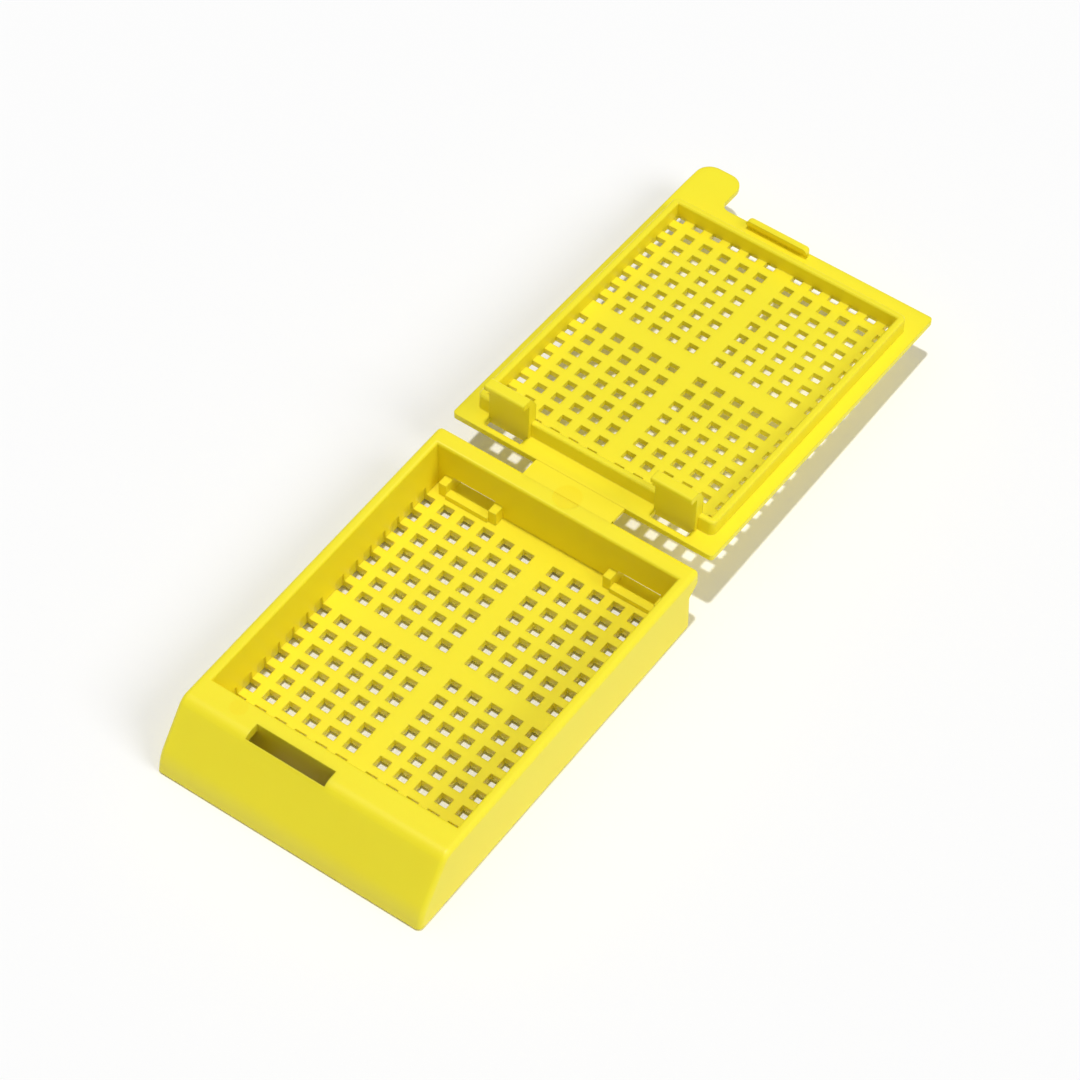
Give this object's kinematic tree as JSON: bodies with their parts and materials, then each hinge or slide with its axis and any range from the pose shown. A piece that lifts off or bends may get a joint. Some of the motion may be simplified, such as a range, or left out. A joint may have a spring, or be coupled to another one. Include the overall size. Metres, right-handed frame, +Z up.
{
  "type": "tissue cassette",
  "caption": "Open histology tissue cassette: perforated tray with a slanted writing face, and a perforated snap lid with a finger tab on a living hinge.",
  "frame": {"origin": "on the table, under the middle of the living hinge's fold", "axes": "+Z up; -Y from the hinge along the tray to the slanted writing face; +Y from the hinge along the open lid; +X across, to the right when looking along +Y"},
  "size_m": [0.0286, 0.084, 0.0115],
  "materials": {
    "cassette_plastic": "satin acetal, yellow, slightly translucent"
  },
  "bodies": {
    "cassette_base": {"cassette_base": "cassette_plastic"},
    "hinged_lid": {"hinged_lid": "cassette_plastic"}
  },
  "joints": [
    {"name": "lid_hinge", "type": "hinge", "parent": "cassette_base", "child": "hinged_lid", "pos_m": [0, 0, 0.0067], "axis": [1, 0, 0], "range_deg": [0, 182.7]}
  ]
}
